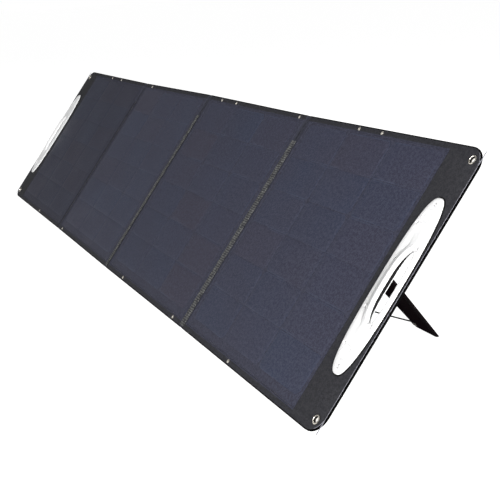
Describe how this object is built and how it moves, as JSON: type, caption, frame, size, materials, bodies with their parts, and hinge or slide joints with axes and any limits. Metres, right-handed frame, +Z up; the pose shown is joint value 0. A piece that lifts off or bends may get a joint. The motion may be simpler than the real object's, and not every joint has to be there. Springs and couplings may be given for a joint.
{
  "type": "folding solar panel",
  "caption": "Stiff fabric-covered solar panels joined edge to edge by fabric hinges, with white arched handles at both ends and board kickstands on the back.",
  "frame": {"origin": "centre of the open sheet's footprint, on the surface that it stands on", "axes": "+X along the sheet's width, the solar face looks towards -Y and up, +Z up"},
  "size_m": [2.32, 0.4308, 0.4274],
  "materials": {
    "cover_fabric": "woven polyester, charcoal",
    "laminate": "embossed film, dark blue grey, fine dots",
    "cells": "dark cells in clear film",
    "board": "pressed fibre board",
    "hinge_fabric": "ribbed webbing, grey green",
    "white_plastic": "glossy white moulding",
    "grommet_metal": "pressed and plated, slightly warm",
    "screw_metal": "zinc plated",
    "leg_fabric": "black woven polyester over a board",
    "black_cord": "round braided cord, black",
    "black_plastic": "textured black moulding"
  },
  "bodies": {
    "inner_left": {"front_cover_inner_left": "cover_fabric", "laminate_inner_left": "laminate", "cell_sheet_inner_left": "cells", "core_board_inner_left": "board", "back_cover_inner_left": "cover_fabric", "hinge_strip_left": "hinge_fabric", "hinge_strip_middle": "hinge_fabric"},
    "outer_left": {"front_cover_outer_left": "cover_fabric", "laminate_outer_left": "laminate", "cell_sheet_outer_left": "cells", "core_board_outer_left": "board", "back_cover_outer_left": "cover_fabric", "handle_front_left": "white_plastic", "handle_back_left": "white_plastic", "handle_screw_left_1": "screw_metal", "handle_screw_left_2": "screw_metal", "handle_screw_left_3": "screw_metal", "handle_screw_left_4": "screw_metal", "handle_screw_left_5": "screw_metal", "handle_screw_left_6": "screw_metal", "handle_screw_left_7": "screw_metal", "handle_screw_left_8": "screw_metal", "grommet_left_bottom": "grommet_metal", "grommet_left_top": "grommet_metal", "leg_hinge_tape_left": "leg_fabric", "cord_anchor_left": "leg_fabric", "stay_cord_left": "black_cord", "junction_box_base": "black_plastic", "junction_box_cover": "black_plastic", "output_socket": "black_plastic"},
    "leg_left": {"leg_board_left": "leg_fabric", "cord_eyelet_left": "grommet_metal"},
    "inner_right": {"front_cover_inner_right": "cover_fabric", "laminate_inner_right": "laminate", "cell_sheet_inner_right": "cells", "core_board_inner_right": "board", "back_cover_inner_right": "cover_fabric", "hinge_strip_right": "hinge_fabric"},
    "outer_right": {"front_cover_outer_right": "cover_fabric", "laminate_outer_right": "laminate", "cell_sheet_outer_right": "cells", "core_board_outer_right": "board", "back_cover_outer_right": "cover_fabric", "handle_front_right": "white_plastic", "handle_back_right": "white_plastic", "handle_screw_right_1": "screw_metal", "handle_screw_right_2": "screw_metal", "handle_screw_right_3": "screw_metal", "handle_screw_right_4": "screw_metal", "handle_screw_right_5": "screw_metal", "handle_screw_right_6": "screw_metal", "handle_screw_right_7": "screw_metal", "handle_screw_right_8": "screw_metal", "grommet_right_bottom": "grommet_metal", "grommet_right_top": "grommet_metal", "leg_hinge_tape_right": "leg_fabric", "cord_anchor_right": "leg_fabric", "stay_cord_right": "black_cord"},
    "leg_right": {"leg_board_right": "leg_fabric", "cord_eyelet_right": "grommet_metal"}
  },
  "joints": [
    {"name": "middle_fold", "type": "hinge", "parent": "inner_left", "child": "inner_right", "pos_m": [0, -0.2081, 0.00179], "axis": [0, 0.6293, 0.7771], "range_deg": [0, 178.3]},
    {"name": "left_fold", "type": "hinge", "parent": "inner_left", "child": "outer_left", "pos_m": [-0.54294, -0.21245, 0.00531], "axis": [0, 0.6293, 0.7771], "range_deg": [0, 178.4]},
    {"name": "right_fold", "type": "hinge", "parent": "inner_right", "child": "outer_right", "pos_m": [0.54294, -0.21245, 0.00531], "axis": [0, -0.6293, -0.7771], "range_deg": [0, 178.4]},
    {"name": "left_kickstand", "type": "hinge", "parent": "outer_left", "child": "leg_left", "pos_m": [-0.85508, 0.00517, 0.26015], "axis": [-0.9999, -0.0101, 0.0082], "range_deg": [0, 77.5]},
    {"name": "right_kickstand", "type": "hinge", "parent": "outer_right", "child": "leg_right", "pos_m": [0.85508, 0.00517, 0.26015], "axis": [-0.9999, 0.0101, -0.0082], "range_deg": [0, 77.5]}
  ],
  "couplings": [
    {"joint": "left_fold", "follows": "middle_fold", "ratio": 1},
    {"joint": "right_fold", "follows": "middle_fold", "ratio": 1}
  ]
}
